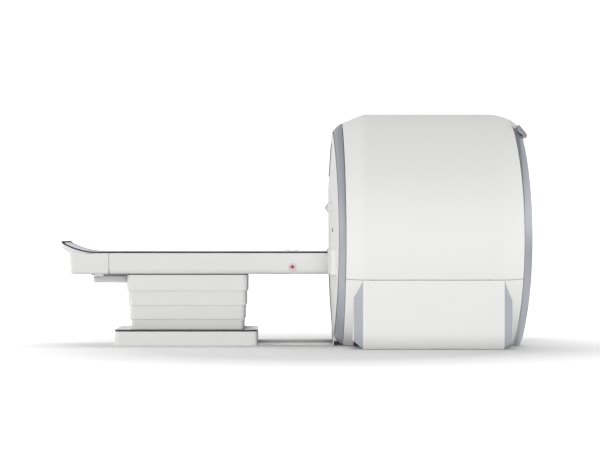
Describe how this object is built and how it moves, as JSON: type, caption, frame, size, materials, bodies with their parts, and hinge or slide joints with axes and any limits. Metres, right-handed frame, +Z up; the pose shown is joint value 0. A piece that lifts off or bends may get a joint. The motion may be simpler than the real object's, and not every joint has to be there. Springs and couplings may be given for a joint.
{
  "type": "mri scanner",
  "caption": "Whole-body magnetic resonance scanner: a round drum of white covers with a wide bore, and a docked patient table on a telescoping lift, its board sliding into the bore",
  "frame": {"origin": "bottom centre of the whole, on the floor midway between the table's foot tip and the scanner's back", "axes": "+X runs along the bore from the table to the scanner, +Z up, the middle plane is Y = 0"},
  "size_m": [4.292, 2.3, 2.15],
  "materials": {
    "shell_white": "smooth white moulded cover, satin gloss",
    "accent_silver": "blue-grey metallic lacquer",
    "bore_white": "glossy white liner",
    "table_white": "white moulded table covers",
    "trim_dark": "dark grey soft trim",
    "board_white": "pale composite board",
    "display_black": "black panel",
    "control_grey": "grey control housing",
    "button_grey": "pale grey buttons",
    "stop_red": "signal red",
    "vessel_steel": "painted steel vessel",
    "frame_steel": "painted steel frame",
    "coil_resin": "cast resin",
    "column_alloy": "anodised extrusion",
    "belt_rubber": "ribbed belt"
  },
  "bodies": {
    "root": {"magnet_vessel": "vessel_steel", "magnet_feet": "frame_steel", "cold_head": "column_alloy", "gradient_coil": "coil_resin", "rf_body_coil": "coil_resin", "bore_liner": "bore_white", "bore_bridge": "bore_white", "front_hoop": "frame_steel", "rear_hoop": "frame_steel", "front_fascia": "shell_white", "front_ring": "accent_silver", "rear_cover": "shell_white", "rear_ring": "accent_silver", "rear_top_rail": "accent_silver", "upper_shell_left": "shell_white", "upper_shell_right": "shell_white", "skirt_left": "shell_white", "skirt_right": "shell_white", "corner_trims": "accent_silver", "docking_yokes": "shell_white", "dock_channel": "shell_white", "display_bezel": "control_grey", "display_glass": "display_black", "control_pods": "control_grey", "coil_jacks": "control_grey", "side_slots": "trim_dark", "floor_duct": "table_white", "base_plinth": "table_white", "base_rim": "trim_dark", "lift_cover_base": "table_white", "column_outers": "column_alloy"},
    "cover_low": {"lift_cover_low": "table_white"},
    "cover_mid": {"lift_cover_mid": "table_white"},
    "column_mid": {"column_middles": "column_alloy"},
    "table": {"lift_cover_top": "table_white", "column_inners": "column_alloy", "sub_frame": "trim_dark", "table_frame": "frame_steel", "side_cover_left": "table_white", "side_cover_right": "table_white", "rim_trims": "trim_dark", "foot_cap": "table_white", "foot_rim": "trim_dark", "guide_rails": "column_alloy", "drive_housing": "table_white", "drive_belt": "belt_rubber", "estop_rings": "stop_red", "nose_panel": "table_white"},
    "drive_wheel": {"drive_pulley": "column_alloy"},
    "idler_wheel": {"idler_pulley": "column_alloy"},
    "latch": {"release_latch": "button_grey"},
    "stop_left": {"estop_button_left": "stop_red"},
    "stop_right": {"estop_button_right": "stop_red"},
    "jog_left": {"dial_left": "button_grey"},
    "jog_right": {"dial_right": "button_grey"},
    "key_left": {"button_left": "button_grey"},
    "key_right": {"button_right": "button_grey"},
    "board": {"patient_board": "board_white", "board_carriage": "frame_steel", "coil_sockets": "button_grey"}
  },
  "joints": [
    {"name": "table_lift", "type": "slide", "parent": "root", "child": "table", "axis": [0, 0, 1], "range_m": [-0.34, 0]},
    {"name": "cover_mid_follow", "type": "slide", "parent": "root", "child": "cover_mid", "axis": [0, 0, 1], "range_m": [-0.2176, 0]},
    {"name": "cover_low_follow", "type": "slide", "parent": "root", "child": "cover_low", "axis": [0, 0, 1], "range_m": [-0.0884, 0]},
    {"name": "column_mid_follow", "type": "slide", "parent": "root", "child": "column_mid", "axis": [0, 0, 1], "range_m": [-0.17, 0]},
    {"name": "board_slide", "type": "slide", "parent": "table", "child": "board", "axis": [1, 0, 0], "range_m": [0, 1.7]},
    {"name": "drive_spin", "type": "hinge", "parent": "table", "child": "drive_wheel", "pos_m": [-1.743, 0, 0.742], "axis": [0, 1, 0], "range_deg": [0, 3100]},
    {"name": "idler_spin", "type": "hinge", "parent": "table", "child": "idler_wheel", "pos_m": [0.269, 0, 0.742], "axis": [0, 1, 0], "range_deg": [0, 3100]},
    {"name": "latch_swing", "type": "hinge", "parent": "table", "child": "latch", "pos_m": [-1.826, -0.304, 0.646], "axis": [0, 0, 1], "range_deg": [-35, 0]},
    {"name": "stop_left_push", "type": "slide", "parent": "table", "child": "stop_left", "axis": [0, -1, 0], "range_m": [0, 0.004], "stiffness_N_per_m": 2000, "springref_m": -0.001},
    {"name": "stop_right_push", "type": "slide", "parent": "table", "child": "stop_right", "axis": [0, 1, 0], "range_m": [0, 0.004], "stiffness_N_per_m": 2000, "springref_m": -0.001},
    {"name": "jog_left_turn", "type": "hinge", "parent": "root", "child": "jog_left", "pos_m": [0.315, 0.545, 1.28], "axis": [1, 0, 0], "range_deg": [-150, 150]},
    {"name": "jog_right_turn", "type": "hinge", "parent": "root", "child": "jog_right", "pos_m": [0.315, -0.595, 1.28], "axis": [1, 0, 0], "range_deg": [-150, 150]},
    {"name": "key_left_push", "type": "slide", "parent": "root", "child": "key_left", "axis": [1, 0, 0], "range_m": [0, 0.003], "stiffness_N_per_m": 1500, "springref_m": -0.001},
    {"name": "key_right_push", "type": "slide", "parent": "root", "child": "key_right", "axis": [1, 0, 0], "range_m": [0, 0.003], "stiffness_N_per_m": 1500, "springref_m": -0.001}
  ],
  "couplings": [
    {"joint": "cover_mid_follow", "follows": "table_lift", "ratio": 0.64},
    {"joint": "cover_low_follow", "follows": "table_lift", "ratio": 0.26},
    {"joint": "column_mid_follow", "follows": "table_lift", "ratio": 0.5},
    {"joint": "drive_spin", "follows": "board_slide", "rad_per_m": 31.447},
    {"joint": "idler_spin", "follows": "board_slide", "rad_per_m": 31.447}
  ]
}
